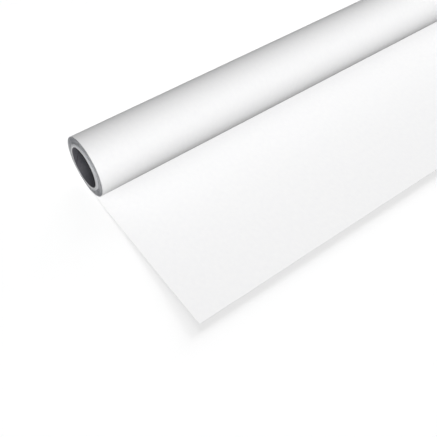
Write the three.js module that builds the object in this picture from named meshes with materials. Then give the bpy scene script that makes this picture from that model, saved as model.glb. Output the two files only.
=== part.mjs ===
// A seamless background paper roll for a photo studio: a half-width web of heavy white paper,
// wound on a cardboard core, with its free end laid out flat in front of the roll.
// The roll lies along X on its own paper. The paper leaves it at the bottom and lies towards -Y.
// Millimetres, +Z up, origin on the floor at the middle of the whole outline.
import * as THREE from "three";
import { mergeVertices } from "three/addons/utils/BufferGeometryUtils.js";

// The paper web
const WEB_WIDTH = 1350; // half-width roll, 1.35 m
const PAPER = 0.22; // thickness of 165 g/m2 paper
const ROLL_DIAMETER = 85; // over the paper that is still wound on
const LAID_LENGTH = 250; // from the line where the paper leaves the roll to its cut edge

// The laid end keeps a little of its curl: past a short flat stretch it bends up from the floor,
// and from there it rises on a gentle slope to its cut edge.
const FLAT_LENGTH = 30;
const BEND_LENGTH = 40;
const BEND_RADIUS = 1200;

// The core, a spiral-wound cardboard tube with a dark inner ply
const CORE_BORE = 57;
const CORE_WALL = 4;
const CORE_STANDS_OUT = 2; // past the paper, at each end
const LINER_THICKNESS = 0.5;

// Double-sided tape along the core, which holds the first turn of paper
const TAPE_WIDTH = 25;
const TAPE_THICKNESS = 0.15;
const TAPE_LENGTH = 1340;

const GAP = 0.1; // clearance between pieces that touch on the real roll
const FACETS = 96; // sides of a full circle

const rollRadius = ROLL_DIAMETER / 2;
const coreRadius = CORE_BORE / 2 + CORE_WALL;
const coreLength = WEB_WIDTH + 2 * CORE_STANDS_OUT;
const tapeRadius = coreRadius + GAP;
const contactY = (LAID_LENGTH - rollRadius) / 2; // the roll's axis is above this line

const paperWhite = new THREE.MeshStandardMaterial({ color: 0xf4f4f3, roughness: 0.9, metalness: 0 });
const woundWhite = new THREE.MeshStandardMaterial({ color: 0xd8d8da, roughness: 0.9, metalness: 0 });
const coreBoard = new THREE.MeshStandardMaterial({ color: 0x9b9a9f, roughness: 0.8, metalness: 0 });
const coreLining = new THREE.MeshStandardMaterial({ color: 0x45464e, roughness: 0.6, metalness: 0 });
const adhesiveTape = new THREE.MeshStandardMaterial({ color: 0xe6dfc4, roughness: 0.5, metalness: 0 });

const roll = new THREE.Group();
roll.position.set(0, contactY, rollRadius);
const laid = new THREE.Group();
laid.position.set(0, contactY, 0);

// A point of the cross-section: the angle is counted from the bottom of the roll towards the rear (+Y).
const onCircle = (radius, angle) => new THREE.Vector2(radius * Math.sin(angle), -radius * Math.cos(angle));

// A cross-section in the YZ plane, drawn as (y, z), becomes a solid of that length centred on X = 0.
function alongX(shape, length) {
  const drawn = new THREE.ExtrudeGeometry(shape, { depth: length, bevelEnabled: false });
  drawn.translate(0, 0, -length / 2);
  drawn.rotateY(Math.PI / 2).rotateX(Math.PI / 2);
  drawn.deleteAttribute("normal");
  drawn.deleteAttribute("uv");
  const solid = mergeVertices(drawn, 1e-4);
  solid.computeVertexNormals();
  return solid;
}

function circle(radius) {
  return Array.from({ length: FACETS }, (_, i) => onCircle(radius, (2 * Math.PI * i) / FACETS));
}

function ring(inner, outer) {
  const shape = new THREE.Shape(circle(outer));
  shape.holes.push(new THREE.Path(circle(inner).reverse()));
  return shape;
}

// A strip with parallel faces: out along one face, back along the other.
function strip(outerFace, innerFace) {
  return new THREE.Shape([...outerFace, ...innerFace.reverse()]);
}

function add(group, name, geometry, material) {
  const mesh = new THREE.Mesh(geometry, material.clone());
  mesh.name = name;
  group.add(mesh);
}

// The core tube: wound board with a dark liner ply inside it.
const linerOuter = CORE_BORE / 2 + LINER_THICKNESS;
add(roll, "core_liner", alongX(ring(CORE_BORE / 2, linerOuter), coreLength), coreLining);
add(roll, "core_tube", alongX(ring(linerOuter + GAP, coreRadius), coreLength), coreBoard);

// The starting tape is an arc of the core's surface, centred on the top.
const tapeHalfAngle = TAPE_WIDTH / 2 / tapeRadius;
const tapeSteps = 8;
const tapeArc = (radius) =>
  Array.from({ length: tapeSteps + 1 }, (_, i) =>
    onCircle(radius, Math.PI + tapeHalfAngle * ((2 * i) / tapeSteps - 1)),
  );
const tapeSection = strip(tapeArc(tapeRadius + TAPE_THICKNESS), tapeArc(tapeRadius));
add(roll, "start_tape", alongX(tapeSection, TAPE_LENGTH), adhesiveTape);

// The outermost turn runs from the bottom of the roll round the rear, over the top and down the front,
// one paper thickness and a clearance nearer the axis when it comes back to the bottom.
const turnPitch = PAPER + GAP;
const turnFace = (depth) =>
  Array.from({ length: FACETS }, (_, i) =>
    onCircle(rollRadius - depth - (turnPitch * i) / FACETS, (2 * Math.PI * i) / FACETS),
  );
add(roll, "outer_turn", alongX(strip(turnFace(0), turnFace(PAPER)), WEB_WIDTH), paperWhite);

// Every turn under it, as one tube.
const woundInner = tapeRadius + TAPE_THICKNESS + GAP;
const woundOuter = rollRadius - turnPitch - PAPER - GAP;
add(roll, "wound_turns", alongX(ring(woundInner, woundOuter), WEB_WIDTH), woundWhite);

// The laid end: flat from the roll, then a wide bend, then straight up the slope to the cut edge.
const bendSteps = 6;
function laidFace(height) {
  const face = [new THREE.Vector2(-GAP, height), new THREE.Vector2(-FLAT_LENGTH, height)];
  const radius = BEND_RADIUS - height;
  const slope = BEND_LENGTH / BEND_RADIUS;
  for (let i = 1; i <= bendSteps; i++) {
    const angle = (slope * i) / bendSteps;
    face.push(new THREE.Vector2(-FLAT_LENGTH - radius * Math.sin(angle), BEND_RADIUS - radius * Math.cos(angle)));
  }
  const run = LAID_LENGTH - FLAT_LENGTH - BEND_LENGTH;
  const last = face[face.length - 1];
  face.push(new THREE.Vector2(last.x - run * Math.cos(slope), last.y + run * Math.sin(slope)));
  return face;
}
add(laid, "laid_sheet", alongX(strip(laidFace(0), laidFace(PAPER)), WEB_WIDTH), paperWhite);

const backgroundRoll = new THREE.Group();
backgroundRoll.add(roll, laid);

export default backgroundRoll;
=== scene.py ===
# %% [markdown]
# # A roll of studio background paper
#
# Photographers roll a wide web of heavy white paper out over a floor and call it a seamless
# background. This lesson builds one roll with Blender: a spiral of paper on a cardboard core, lying
# on the floor, with its free end laid out flat in front of it. The sizes and the moving bodies come
# from a finished engineering model, so every piece here is made straight at its real place, in
# metres, and nothing has to be fitted afterwards.

# %% Load the engineering model
import math

import bpy
from mathutils import Matrix, Vector


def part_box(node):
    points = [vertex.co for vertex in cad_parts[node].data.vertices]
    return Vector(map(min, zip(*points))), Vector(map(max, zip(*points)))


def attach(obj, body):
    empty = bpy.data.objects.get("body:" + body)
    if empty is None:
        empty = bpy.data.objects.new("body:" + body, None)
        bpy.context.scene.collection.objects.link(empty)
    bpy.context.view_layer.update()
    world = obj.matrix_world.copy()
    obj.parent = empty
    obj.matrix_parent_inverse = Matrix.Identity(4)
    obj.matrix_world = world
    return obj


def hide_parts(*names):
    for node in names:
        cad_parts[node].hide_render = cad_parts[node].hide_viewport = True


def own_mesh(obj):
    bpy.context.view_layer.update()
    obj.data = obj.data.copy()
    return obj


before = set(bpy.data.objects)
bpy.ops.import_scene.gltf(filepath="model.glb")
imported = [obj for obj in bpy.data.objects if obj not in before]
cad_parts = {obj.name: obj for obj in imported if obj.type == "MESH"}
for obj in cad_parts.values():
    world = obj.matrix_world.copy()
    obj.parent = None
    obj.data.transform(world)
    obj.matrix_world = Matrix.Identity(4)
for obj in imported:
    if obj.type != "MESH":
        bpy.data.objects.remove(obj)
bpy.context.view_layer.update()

# %% [markdown]
# The loaded model gives the real sizes. Asking each solid for its box is safer than typing its
# numbers again, because a later change of the model then carries through to every piece below.

# %% Sizes from the model
tube_low, tube_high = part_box("core_tube")
liner_low, liner_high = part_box("core_liner")
turn_low, turn_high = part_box("outer_turn")
laid_low, laid_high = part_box("laid_sheet")

half_web = turn_high.x                                # half the width of the paper
half_core = tube_high.x                               # the core is a little longer than the paper
axis_y = (tube_low.y + tube_high.y) / 2               # the roll's axis runs along X at this Y and Z
axis_z = (tube_low.z + tube_high.z) / 2
roll_radius = axis_z - laid_low.z
core_radius = (tube_high.z - tube_low.z) / 2
lining_thickness = 0.0005
bore_radius = (liner_high.z - liner_low.z) / 2 - lining_thickness
front_y = laid_low.y                                  # the cut edge of the free end
laid_length = axis_y - front_y
paper = 0.00022                                       # heavy background paper is 0.2 to 0.25 mm thick
print(f"roll {2000 * roll_radius:.1f} mm across, core {2000 * core_radius:.1f} mm, "
      f"web {2000 * half_web:.0f} mm wide, {1000 * laid_length:.0f} mm laid out")

# %% [markdown]
# ## Small helpers for the pieces
#
# Operators act on everything that is selected, so a clean selection comes before each new piece. The
# other helpers name the piece that an operator has just made, apply a modifier to a piece, and print
# a piece's size.

# %% Helpers for pieces
smooth_below = math.radians(35)                       # an edge that turns by more than this stays sharp


def clear_selection():
    bpy.ops.object.select_all(action="DESELECT")


def active_piece(name):
    piece = bpy.context.active_object
    piece.name = piece.data.name = name
    return piece


def apply_modifier(piece, kind, name, **settings):
    """Adds a modifier with its settings and applies it straight away."""
    modifier = piece.modifiers.new(name, kind)
    for key, value in settings.items():
        setattr(modifier, key, value)
    bpy.context.view_layer.objects.active = piece
    bpy.ops.object.modifier_apply(modifier=name)


def report(piece):
    size = [round(1000 * v, 2) for v in piece.dimensions]
    print(f"{piece.name}: {len(piece.data.polygons)} faces, {size} mm")


clear_selection()

# %% [markdown]
# ## The camera
#
# The view is the usual one of a shop's catalogue: from the front left, looking down at a little more than
# 50 degrees, near enough to fill the frame with the roll's open end and the corner of the sheet. The
# far end runs out of the frame. The camera is also turned by a few degrees about its own line of
# sight, as a hand-held camera is, so its axes are built one by one instead of with a tracking
# constraint.

# %% Camera
azimuth, elevation, bank = (math.radians(a) for a in (-41.31, 54.16, 5.23))
looks_at = Vector((-half_web + 0.1115, axis_y - 0.1388, 0))   # on the sheet, near the open end
distance = 0.8426


def direction(azimuth, elevation):
    """Towards something at that azimuth, counted from the front to the right, and elevation, in radians."""
    level = math.cos(elevation)
    return Vector((math.sin(azimuth) * level, -math.cos(azimuth) * level, math.sin(elevation)))


back = direction(azimuth, elevation)
level_right = Vector((0, 0, 1)).cross(back).normalized()
level_up = back.cross(level_right)
right = math.cos(bank) * level_right + math.sin(bank) * level_up
up = math.cos(bank) * level_up - math.sin(bank) * level_right

bpy.ops.object.camera_add(location=looks_at + distance * back)
camera = active_piece("camera")
camera.rotation_euler = Matrix((right, up, back)).transposed().to_euler()
camera.data.sensor_width = 36
camera.data.lens = 53.4
camera.data.clip_start, camera.data.clip_end = 0.01, 50
bpy.context.scene.camera = camera
print("camera at", [round(v, 4) for v in camera.location], "lens", round(camera.data.lens, 1), "mm")
clear_selection()

# %% [markdown]
# ## Tools for materials
#
# Colours are written as the sRGB hex values a designer would read off a screen, and Blender works
# with linear light, so one function converts them. Another adds a node to a tree, fills in its settings
# and joins its inputs, and a third starts a material. Every material below is made with these three.

# %% Helpers for materials
def linear(hex_colour):
    channels = [int(hex_colour[i:i + 2], 16) / 255 for i in (1, 3, 5)]
    return [c / 12.92 if c <= 0.04045 else ((c + 0.055) / 1.055) ** 2.4 for c in channels] + [1.0]


def add_node(tree, kind, settings=None, links=None):
    """Adds a node. A setting is an input's name or number, or a property of the node itself.
    A link joins one of its inputs to another node's output."""
    node = tree.nodes.new(kind)
    for key, value in (settings or {}).items():
        if isinstance(key, str) and hasattr(node, key):
            setattr(node, key, value)
        else:
            node.inputs[key].default_value = value
    for key, output in (links or {}).items():
        tree.links.new(output, node.inputs[key])
    return node


def new_material(name, **settings):
    """An empty material with a Principled shader, whose settings are given with _ for a space."""
    material = bpy.data.materials.new(name)
    material.use_nodes = True
    tree = material.node_tree
    tree.nodes.clear()
    shader = add_node(tree, "ShaderNodeBsdfPrincipled")
    for key, value in settings.items():
        shader.inputs[key.replace("_", " ")].default_value = value
    add_node(tree, "ShaderNodeOutputMaterial", links={"Surface": shader.outputs["BSDF"]})
    return material, tree, shader


# %% [markdown]
# Three things recur in the materials. Paper, board and film vary between two tones, and a noise
# pattern chooses between them. The same pattern also gives the relief. And what goes round the core
# is drawn from each point's distance from the roll's axis. A noise stays near the middle of its
# range, so the part from 0.3 to 0.7 is stretched over both tones.

# %% Helpers for patterns
def two_tones(tree, pattern, dark, light):
    """The output of a colour that goes from dark to light as the pattern does."""
    spread = add_node(tree, "ShaderNodeMapRange", {"From Min": 0.3, "From Max": 0.7}, {"Value": pattern})
    tones = add_node(tree, "ShaderNodeMix", {"data_type": "RGBA", "A": linear(dark), "B": linear(light)},
                     {"Factor": spread.outputs["Result"]})
    return tones.outputs["Result"]


def set_surface(material, shader, colour, relief, strength, depth):
    """Gives the shader its colour, and a relief of that strength and depth in metres."""
    tree = material.node_tree
    bump = add_node(tree, "ShaderNodeBump", {"Strength": strength, "Distance": depth}, {"Height": relief})
    tree.links.new(colour, shader.inputs["Base Color"])
    tree.links.new(bump.outputs["Normal"], shader.inputs["Normal"])
    print(f"{material.name}: {len(tree.nodes)} nodes, relief {1000 * depth:g} mm deep")


def from_the_axis(tree):
    """Outputs of each point's place, and of its X, Y and Z counted from the roll's axis."""
    place = add_node(tree, "ShaderNodeTexCoord").outputs["Object"]
    centred = add_node(tree, "ShaderNodeMapping", {"Location": (0, -axis_y, -axis_z)}, {"Vector": place})
    return place, add_node(tree, "ShaderNodeSeparateXYZ", links={"Vector": centred.outputs["Vector"]}).outputs


def distance_out(tree, xyz):
    """The output of each point's distance from the roll's axis."""
    across = add_node(tree, "ShaderNodeCombineXYZ", links={"Y": xyz["Y"], "Z": xyz["Z"]})
    radius = add_node(tree, "ShaderNodeVectorMath", {"operation": "LENGTH"}, {0: across.outputs["Vector"]})
    return radius.outputs["Value"]


# %% [markdown]
# ## Material: uncoated background paper
#
# The paper is machine-made from bleached pulp and left uncoated, so it is matt and scatters light
# evenly. Close up it is not one flat white. Held to the light, the pulp shows as clouds a few
# millimetres across, the "formation" of the sheet. The surface has a fine tooth from the felt that
# pressed it, and fibres lie a little more along the web than across it. The patterns read a UV map
# in metres that runs along the web, so that they follow the paper round the roll.

# %% Uncoated background paper
paper_white, tree, shader = new_material("background_paper_uncoated", Roughness=0.88, IOR=1.48)
web = add_node(tree, "ShaderNodeUVMap", {"uv_map": "web"}).outputs["UV"]

# The formation: clouds of pulp, 5 mm across the web and 8 mm along it
clouds_at = add_node(tree, "ShaderNodeMapping", {"Scale": (1 / 0.005, 1 / 0.008, 1)}, {"Vector": web})
clouds = add_node(tree, "ShaderNodeTexNoise", {"Scale": 1.0, "Detail": 3.0, "Roughness": 0.55},
                  {"Vector": clouds_at.outputs["Vector"]})
# The fibres: 0.25 mm across, three times as long
fibres_at = add_node(tree, "ShaderNodeMapping", {"Scale": (1 / 0.00025, 1 / 0.00075, 1)}, {"Vector": web})
fibres = add_node(tree, "ShaderNodeTexNoise", {"Scale": 1.0, "Detail": 4.0, "Roughness": 0.65},
                  {"Vector": fibres_at.outputs["Vector"]})
mottle = add_node(tree, "ShaderNodeMix", {"data_type": "FLOAT", "Factor": 0.35},
                  {"A": clouds.outputs["Fac"], "B": fibres.outputs["Fac"]})
# The relief is the tooth of the felt, 0.02 mm deep
set_surface(paper_white, shader, two_tones(tree, mottle.outputs["Result"], "#EDEDEE", "#F1F1F1"),
            fibres.outputs["Fac"], strength=0.35, depth=0.00002)

# %% [markdown]
# ## Material: the cut edges of the wound paper
#
# The slitter that cuts the web to width leaves a rougher, greyer edge than the paper's face, and
# light gets lost between the turns. The edge tones are also painted darker than that, as painted
# shade for the roll's open end, which lies in shade. From the end, forty-odd edges make fine rings,
# some a little darker where the winding was slacker. A single turn is far too thin to show from a
# step away, so the rings are drawn at one to four turns wide.

# %% Slit paper edges
shaded_paper_edge, tree, shader = new_material("slit_paper_edges_with_painted_shade", Roughness=0.92, IOR=1.48)
place, xyz = from_the_axis(tree)
rings = add_node(tree, "ShaderNodeTexNoise",
                 {"noise_dimensions": "1D", "Scale": 1 / 0.0009, "Detail": 3.0, "Roughness": 0.7},
                 {"W": distance_out(tree, xyz)})
# The slitter's nibbles along each edge, 1.5 mm apart
nibbles = add_node(tree, "ShaderNodeTexNoise", {"Scale": 1 / 0.0015, "Detail": 4.0, "Roughness": 0.6},
                   {"Vector": place})
edges = add_node(tree, "ShaderNodeMix", {"data_type": "FLOAT", "Factor": 0.35},
                 {"A": rings.outputs["Fac"], "B": nibbles.outputs["Fac"]}).outputs["Result"]
# The two greys are partly the slit edges' own colour and partly painted shade of the open end
edge_grey_and_shade = two_tones(tree, edges, "#84858A", "#A2A4A9")
set_surface(shaded_paper_edge, shader, edge_grey_and_shade, edges, strength=0.5, depth=0.0001)

# %% [markdown]
# ## The web, one spiral
#
# The roll is one long strip of paper, so it is modelled as one: a flat grid, with a row of points
# for each step along the paper, is wound up row by row. No operator winds a strip round itself with
# a radius that grows by one thickness a turn, so each row's place is worked out. While the strip is
# still flat its UV map is written in metres, and the paper's patterns then stay on the paper however
# it is wound. Solidify gives it its thickness, and puts the slit edges in a second material.
#
# Two things keep it from looking machined. The first turns pass over the strip of tape that holds
# the paper to the core, and each later turn shows that bump a little less. And no winder is perfect,
# so each turn sits a fraction of a millimetre further left or right than its neighbours.

# %% A strip of paper from its rows
drawn_thickness = paper - 0.000005                    # a little air, so that turns don't share a face
edge_grip = 24                                        # how close to the edge the sideways shift stays


def paper_strip(name, rows, columns):
    """rows: for each step along the paper, its distance along the web, Y, Z, and how far its left and right
    edges stand out. columns: the distances across the web, from one edge to the other."""
    across_count, along_count = len(columns) - 1, len(rows) - 1
    bpy.ops.mesh.primitive_grid_add(x_subdivisions=across_count, y_subdivisions=along_count, size=1)
    strip = active_piece(name)
    mesh = strip.data
    uv = mesh.uv_layers[0]
    uv.name = "web"
    place = {v.index: (round((v.co.x + 0.5) * across_count), round((v.co.y + 0.5) * along_count))
             for v in mesh.vertices}
    for loop in mesh.loops:
        column, row = place[loop.vertex_index]
        uv.data[loop.index].uv = (columns[column], rows[row][0])
    for v in mesh.vertices:
        column, row = place[v.index]
        share = (columns[column] - columns[0]) / (columns[-1] - columns[0])
        along, y, z, left_out, right_out = rows[row]
        shift = right_out * share ** edge_grip - left_out * (1 - share) ** edge_grip
        v.co = (columns[column] + shift, y, z)
    mesh.update()
    return strip


def give_thickness(strip, edge_material):
    strip.data.materials.append(paper_white)
    strip.data.materials.append(edge_material)
    apply_modifier(strip, "SOLIDIFY", "paper_thickness", thickness=drawn_thickness, offset=0.0,
                   use_rim=True, material_offset_rim=1)
    bpy.ops.object.shade_smooth_by_angle(angle=smooth_below)


# %% Where the wound turns run
steps = 72                                            # points in one turn
first_gap = 0.00012                                   # between the core and the first turn
first_radius = core_radius + first_gap + paper / 2    # middle of the paper in the first turn
outer_pitch = 0.00024                                 # how much the outermost turn comes in by
outer_room = outer_pitch + 1.6 * paper                # the outermost turn and a little air
turns = int((roll_radius - outer_room - first_radius) / paper)
tape_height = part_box("start_tape")[1].z - axis_z - core_radius
tape_reach = 0.0145                                   # from the tape's middle to where the paper comes down
tape_slope = 0.0008                                   # how softly it comes down there
tape_fades = 5                                        # turns over which the bump dies away
slow_wander, quick_wander = 0.00010, 0.00009          # how far the edges of the turns stand out or back


def wound_point(k):
    """Where the middle of the paper is at step k from the core: its angle, from the bottom of the roll
    towards the rear, and its radius."""
    turn = k / steps
    angle = -2 * math.pi * turn
    from_tape = abs(angle % (2 * math.pi) - math.pi) * core_radius
    bump = tape_height * math.exp(-turn / tape_fades) / (1 + math.exp((from_tape - tape_reach) / tape_slope))
    return angle, first_radius + paper * turn + bump


def sideways(turn, side):
    """How far a turn's edge stands out or back at one end of the roll. The waves have lengths that don't
    fit into each other, so the wander doesn't repeat within a roll."""
    slow = math.sin(0.41 * turn + 1.3 * side) + 0.6 * math.sin(0.97 * turn + 2.1)
    quick = math.sin(2.73 * turn) * math.sin(5.1 * turn + side)
    return slow_wander * slow + quick_wander * quick


print(f"{turns} turns, with {1000 * tape_height:.2f} mm of tape under them")

# %% The wound turns
rows, along = [], 0.0
for k in range(turns * steps + 1):
    angle, r = wound_point(k)
    turn = turns + 1 - k / steps                      # counted inwards from the outermost turn
    rows.append((along, axis_y + r * math.sin(angle), axis_z - r * math.cos(angle),
                 sideways(turn, 0), sideways(turn, 1)))
    along += 2 * math.pi * r / steps
edge_strip = 0.004                                    # the sideways shift stays in this strip of the web
inner_edge = half_web - edge_strip
wound = paper_strip("wound_paper", rows, (-half_web, -inner_edge, inner_edge, half_web))
give_thickness(wound, shaded_paper_edge)
report(wound)
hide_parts("wound_turns")
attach(wound, "roll")
clear_selection()

# %% [markdown]
# The outermost turn is the same paper, as a piece of its own. When the roll travels over the floor
# the line where the paper leaves it stays at the bottom, so this turn travels with the roll and
# doesn't turn with it. It starts at the bottom, goes up the rear, over the top and down the front.

# %% The outermost turn
outer_steps = 96


def evenly(count):
    """The distances across the web of count even strips."""
    return [-half_web + 2 * half_web * i / count for i in range(count + 1)]


rows, along = [], 0.0
for k in range(outer_steps + 1):
    share = k / outer_steps
    angle, r = 2 * math.pi * share, roll_radius - paper / 2 - outer_pitch * share
    rows.append((-along, axis_y + r * math.sin(angle), axis_z - r * math.cos(angle),
                 sideways(share, 0), sideways(share, 1)))
    along += 2 * math.pi * r / outer_steps
outer = paper_strip("outermost_turn", rows, evenly(60))
give_thickness(outer, shaded_paper_edge)
report(outer)
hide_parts("outer_turn")
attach(outer, "outer_paper")
clear_selection()

# %% [markdown]
# ## The free end
#
# Paper that has been on a roll keeps some of its curl, so the free end doesn't lie quite flat: it
# leaves the floor at the roll in one long bend with a radius of 4.6 metres, and its cut edge is
# seven millimetres up. That gap is what gives the sheet its soft shadow. The bend is gentle enough
# to stay under the roll when the roll travels over the sheet. The cut was made freehand with a knife
# along a straight edge, so it wanders by a few tenths of a millimetre, and the sheet has a ripple too
# faint to see head-on.

# %% The free end
bend_radius = 4.6
end_gap = 0.00002                                     # between the free end and the outermost turn
sheet_steps = 50
rows = []
for k in range(sheet_steps + 1):
    s = end_gap + (laid_length - end_gap) * k / sheet_steps
    y = -bend_radius * math.sin(s / bend_radius)
    z = bend_radius * (1 - math.cos(s / bend_radius))
    rows.append((s, axis_y + y, z + paper / 2, sideways(0, 0), sideways(0, 1)))
free_end = paper_strip("free_end", rows, evenly(120))
print(f"the cut edge is {1000 * z:.1f} mm up")

# %% Its ripple and its hand-cut edge
ripple_height, cut_wander = 0.00012, 0.00018
ripple_starts, cut_starts = 0.4, 0.999                # shares of the way out to the cut edge
# The ripple's waves are 370 and 150 mm from crest to crest, and the cut's 270 and 90 mm
for v in free_end.data.vertices:
    out = (axis_y - v.co.y) / laid_length
    ripple = math.sin(17.0 * v.co.x + 1.0) + 0.6 * math.sin(41.0 * v.co.x - 9.0 * out)
    v.co.z += ripple_height * ripple * max(0.0, out - ripple_starts)
    if out > cut_starts:
        v.co.y += cut_wander * (1 + math.sin(23.0 * v.co.x) * math.sin(71.0 * v.co.x + 0.5))
give_thickness(free_end, shaded_paper_edge)
report(free_end)
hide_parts("laid_sheet")
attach(free_end, "laid_paper")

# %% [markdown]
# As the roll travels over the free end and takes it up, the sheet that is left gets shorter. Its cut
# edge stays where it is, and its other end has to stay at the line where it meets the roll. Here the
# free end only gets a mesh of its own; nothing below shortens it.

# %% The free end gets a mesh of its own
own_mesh(free_end)
clear_selection()

# %% [markdown]
# ## Material: spiral-wound core board
#
# The core is made of strips of recycled grey board, glued and wound in a spiral. The saw cut at its
# end shows the plies as rings half a millimetre wide, with flecks of fibre, and the first ply under the
# lining is a whiter board.

# %% Core board
core_board, tree, shader = new_material("spiral_wound_core_board", Roughness=0.85, IOR=1.5)
place, xyz = from_the_axis(tree)
radius = distance_out(tree, xyz)
plies = add_node(tree, "ShaderNodeTexNoise", {"noise_dimensions": "1D", "Scale": 1 / 0.0005, "Detail": 2.0},
                 {"W": radius})
flecks = add_node(tree, "ShaderNodeTexNoise", {"Scale": 1 / 0.0008, "Detail": 4.0, "Roughness": 0.7},
                  {"Vector": place})
board = add_node(tree, "ShaderNodeMix", {"data_type": "FLOAT", "Factor": 0.5},
                 {"A": plies.outputs["Fac"], "B": flecks.outputs["Fac"]}).outputs["Result"]
# The white ply ends between 1.1 and 1.4 mm outside the bore
white_ply = add_node(tree, "ShaderNodeMapRange",
                     {"From Min": bore_radius + 0.0014, "From Max": bore_radius + 0.0011}, {"Value": radius})
grey_board = two_tones(tree, board, "#BFC0C3", "#E0E1E4")
board_colour = add_node(tree, "ShaderNodeMix", {"data_type": "RGBA", "B": linear("#F2F2F2")},
                        {"Factor": white_ply.outputs["Result"], "A": grey_board})
set_surface(core_board, shader, board_colour.outputs["Result"], board, strength=0.5, depth=0.00008)

# %% [markdown]
# ## The core
#
# A tube is a section of its wall turned once round the axis. The section starts as a plane as long
# as the core and as thick as the wall, and its corners are bevelled first, because a saw never leaves
# board with a knife-sharp edge. Then its outline is spun about the roll's axis.

# %% A tube from a section of its wall
def tube(name, inner, outer, half_length, corner):
    """A tube round the roll's axis, with its corners rounded off over that distance, in metres."""
    bpy.ops.mesh.primitive_plane_add(size=1, location=(0, axis_y, axis_z + (inner + outer) / 2),
                                     rotation=(math.pi / 2, 0, 0))
    piece = active_piece(name)
    piece.scale = (2 * half_length, outer - inner, 1)
    bpy.ops.object.transform_apply(location=True, rotation=True, scale=True)
    bpy.ops.object.mode_set(mode="EDIT")
    bpy.ops.mesh.select_all(action="SELECT")
    bpy.ops.mesh.bevel(offset=corner, offset_type="OFFSET", segments=3, affect="VERTICES")
    bpy.ops.mesh.delete(type="ONLY_FACE")
    bpy.ops.mesh.select_all(action="SELECT")
    bpy.ops.mesh.spin(steps=96, angle=2 * math.pi, center=(0, axis_y, axis_z), axis=(1, 0, 0))
    bpy.ops.mesh.select_all(action="SELECT")
    bpy.ops.mesh.remove_doubles(threshold=1e-6)
    bpy.ops.mesh.normals_make_consistent(inside=False)
    bpy.ops.object.mode_set(mode="OBJECT")
    bpy.ops.object.shade_smooth_by_angle(angle=smooth_below)
    return piece


glue_line = 0.00005                                   # between the lining and the board
board_inside = bore_radius + lining_thickness + glue_line
core = tube("cardboard_core", board_inside, core_radius, half_core, corner=0.0004)
core.data.materials.append(core_board)
report(core)
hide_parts("core_tube")
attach(core, "roll")
clear_selection()

# %% [markdown]
# ## Material and piece: the dark lining
#
# The innermost ply is a smooth charcoal paper, which lets a crossbar slide in. It is a strip wound
# into a spiral that moves 92 mm along the core in each turn, so its seam shows as a helix with a
# slightly open, darker joint, and its cut rim shows the pale body of the ply.

# %% Charcoal lining
spiral_pitch, seam_share = 0.092, 0.008               # metres along the core, and a share of that
charcoal, tree, shader = new_material("charcoal_lining_paper", Roughness=0.55, IOR=1.48)
place, xyz = from_the_axis(tree)
angle = add_node(tree, "ShaderNodeMath", {"operation": "ARCTAN2"}, {0: xyz["Y"], 1: xyz["Z"]})
turn = add_node(tree, "ShaderNodeMath", {"operation": "MULTIPLY", 1: 1 / (2 * math.pi)},
                {0: angle.outputs["Value"]})
strips = add_node(tree, "ShaderNodeMath", {"operation": "MULTIPLY", 1: 1 / spiral_pitch}, {0: xyz["X"]})
helix = add_node(tree, "ShaderNodeMath", {"operation": "ADD"},
                 {0: turn.outputs["Value"], 1: strips.outputs["Value"]})
in_strip = add_node(tree, "ShaderNodeMath", {"operation": "FRACT"}, {0: helix.outputs["Value"]})
from_seam = add_node(tree, "ShaderNodeMath", {"operation": "PINGPONG", 1: 0.5},
                     {0: in_strip.outputs["Value"]})
# 0 in the middle of the seam, 1 where the lining is whole
whole = add_node(tree, "ShaderNodeMapRange", {"From Min": 0.0, "From Max": seam_share},
                 {"Value": from_seam.outputs["Value"]}).outputs["Result"]
# The paper's grain, 2 mm
grain = add_node(tree, "ShaderNodeTexNoise", {"Scale": 1 / 0.002, "Detail": 4.0, "Roughness": 0.6},
                 {"Vector": place})
lined = add_node(tree, "ShaderNodeMix", {"data_type": "RGBA", "A": linear("#36363A")},
                 {"Factor": whole, "B": two_tones(tree, grain.outputs["Fac"], "#5C5C62", "#6C6C73")})
set_surface(charcoal, shader, lined.outputs["Result"], whole, strength=0.4, depth=0.0001)

# %% The lining, with its pale cut rim
pale_rim, tree, shader = new_material("cut_rim_of_lining", Roughness=0.85, IOR=1.5)
place = add_node(tree, "ShaderNodeTexCoord").outputs["Object"]
fuzz = add_node(tree, "ShaderNodeTexNoise", {"Scale": 1 / 0.0012, "Detail": 4.0, "Roughness": 0.7},
                {"Vector": place}).outputs["Fac"]
set_surface(pale_rim, shader, two_tones(tree, fuzz, "#D2D2D4", "#F2F2F2"), fuzz, strength=0.5, depth=0.0001)

lining = tube("core_lining", bore_radius, bore_radius + lining_thickness, half_core, corner=0.00015)
lining.data.materials.append(charcoal)
lining.data.materials.append(pale_rim)
for face in lining.data.polygons:
    if abs(face.normal.x) > 0.2:                      # a face of the cut rim or of its rounded corners
        face.material_index = 1
report(lining)
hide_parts("core_liner")
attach(lining, "roll")
clear_selection()

# %% [markdown]
# ## Material: double-sided tape
#
# The tape that starts the roll is a thin film with adhesive on both faces. The engineering model's
# solid already has the right shape, so it stays and only gets its finish: a slightly yellow, satin
# film with the fine crosswise crinkle that a hand-laid tape has.

# %% Double-sided tape
tape_film, tree, shader = new_material("double_sided_tape", Roughness=0.35, IOR=1.47)
place = add_node(tree, "ShaderNodeTexCoord").outputs["Object"]
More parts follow.
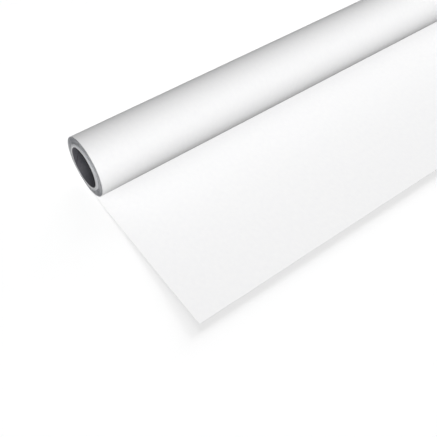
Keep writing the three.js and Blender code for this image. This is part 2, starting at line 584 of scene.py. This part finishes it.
# Crinkles 3 mm wide and 20 mm long, across the tape
crinkle_at = add_node(tree, "ShaderNodeMapping", {"Scale": (1 / 0.003, 1 / 0.02, 1 / 0.02)},
                      {"Vector": place})
crinkle = add_node(tree, "ShaderNodeTexNoise", {"Scale": 1.0, "Detail": 2.0},
                   {"Vector": crinkle_at.outputs["Vector"]}).outputs["Fac"]
film = add_node(tree, "ShaderNodeMix", {"data_type": "RGBA", "A": linear("#E2D9B4"), "B": linear("#EDE6CB")},
                {"Factor": crinkle})
set_surface(tape_film, shader, film.outputs["Result"], crinkle, strength=0.3, depth=0.00005)
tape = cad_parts["start_tape"]
tape.data.materials.clear()
tape.data.materials.append(tape_film)
report(tape)

# %% [markdown]
# ## The stage
#
# The roll lies on a plain white floor. Its paint is a little whiter than the paper, which is why the
# paper still stands out against it.

# %% Floor
floor_paint, tree, shader = new_material("white_floor_paint", Roughness=0.9, IOR=1.45)
shader.inputs["Base Color"].default_value = (0.95, 0.95, 0.95, 1)
floor_gap = 0.00005                                   # so that the floor and the paper don't share a face
bpy.ops.mesh.primitive_plane_add(size=14, location=(0, 0, -floor_gap))
floor = active_piece("studio_floor")
floor.data.materials.append(floor_paint)
report(floor)
clear_selection()

# %% [markdown]
# ## The light
#
# Sun lamps with a wide angle stand for big softboxes far away, which light everything evenly, and a
# weak sky dome fills in from all round. The camera sees a white sky, so that the floor has no visible
# end, but the light that reaches the pieces from it is ten times weaker. The world's shader tells the
# two apart with the Light Path node.

# %% Sky
world = bpy.data.worlds.new("soft_sky")
bpy.context.scene.world = world
world.use_nodes = True
sky = world.node_tree.nodes["Background"]
sky.inputs["Color"].default_value = (1, 1, 1, 1)
shown, given = 1.0, 0.1                               # how bright the sky looks, and how much light it gives
ray = add_node(world.node_tree, "ShaderNodeLightPath")
brightness = add_node(world.node_tree, "ShaderNodeMapRange", {"To Min": given, "To Max": shown},
                      {"Value": ray.outputs["Is Camera Ray"]})
world.node_tree.links.new(brightness.outputs["Result"], sky.inputs["Strength"])
print("the sky gives", given, "of the light that it shows")

# %% [markdown]
# A photographer who wants a pure white floor lights it apart from the subject and keeps the two
# lights off each other with flags. Blender's light linking does that without flags: each lamp gets a
# list of the things that it lights, and can have a list of the only things that throw its shadow.
#
# The roll's softbox stands in front, as high as the camera, so the roll falls off to grey towards its
# outlines and its open end, which faces left, lies in gentle shade. The flat sheet has a softbox of
# its own, which the roll doesn't shade, so it stays even right up to the roll. White paper would
# throw so much light back up that the roll's lower side looked flat, so the sheet is told not to.

# %% Light
def group_of(name, members):
    group = bpy.data.collections.new(name)
    for member in members:
        group.objects.link(member)
    return group


def soft_sun(name, azimuth, elevation, width, strength, lights, shaded_by=None):
    """A sun lamp at that azimuth and elevation and that wide, all in degrees, that lights only those objects.
    A strength of 1 from straight above lights a white surface to full white."""
    towards = direction(math.radians(azimuth), math.radians(elevation))
    bpy.ops.object.light_add(type="SUN", rotation=towards.to_track_quat("Z", "Y").to_euler())
    lamp = active_piece(name)
    lamp.data.energy = strength * math.pi
    lamp.data.angle = math.radians(width)
    lamp.light_linking.receiver_collection = group_of(name + "_lights", lights)
    if shaded_by:
        lamp.light_linking.blocker_collection = group_of(name + "_is_shaded_by", shaded_by)
    print(f"{name}: {elevation} degrees high, {width} degrees wide, lights {[o.name for o in lights]}")
    clear_selection()


soft_sun("roll_softbox", azimuth=0, elevation=54, width=50, strength=0.93,
         lights=[outer, wound, core, lining, tape])
soft_sun("sheet_softbox", azimuth=0, elevation=65, width=50, strength=1.04,
         lights=[free_end], shaded_by=[free_end])
free_end.visible_diffuse = False

# %% [markdown]
# The floor has three lamps of its own. The one from the left makes it white, and the low ones at the
# rear right throw the soft shadow round the lifted edges of the free end, which is the only piece
# that shades them.

# %% Floor lights
soft_sun("floor_left", azimuth=-45, elevation=45, width=40, strength=1.01,
         lights=[floor], shaded_by=[free_end])
soft_sun("floor_low_right", azimuth=115, elevation=14, width=26, strength=0.52,
         lights=[floor], shaded_by=[free_end])
soft_sun("floor_rear_right", azimuth=150, elevation=30, width=58, strength=0.24,
         lights=[floor], shaded_by=[free_end])

# %% [markdown]
# The picture is shown with the plain "Standard" transform, so that a white floor comes out white.

# %% Display
bpy.context.scene.view_settings.view_transform = "Standard"
print("view transform:", bpy.context.scene.view_settings.view_transform)
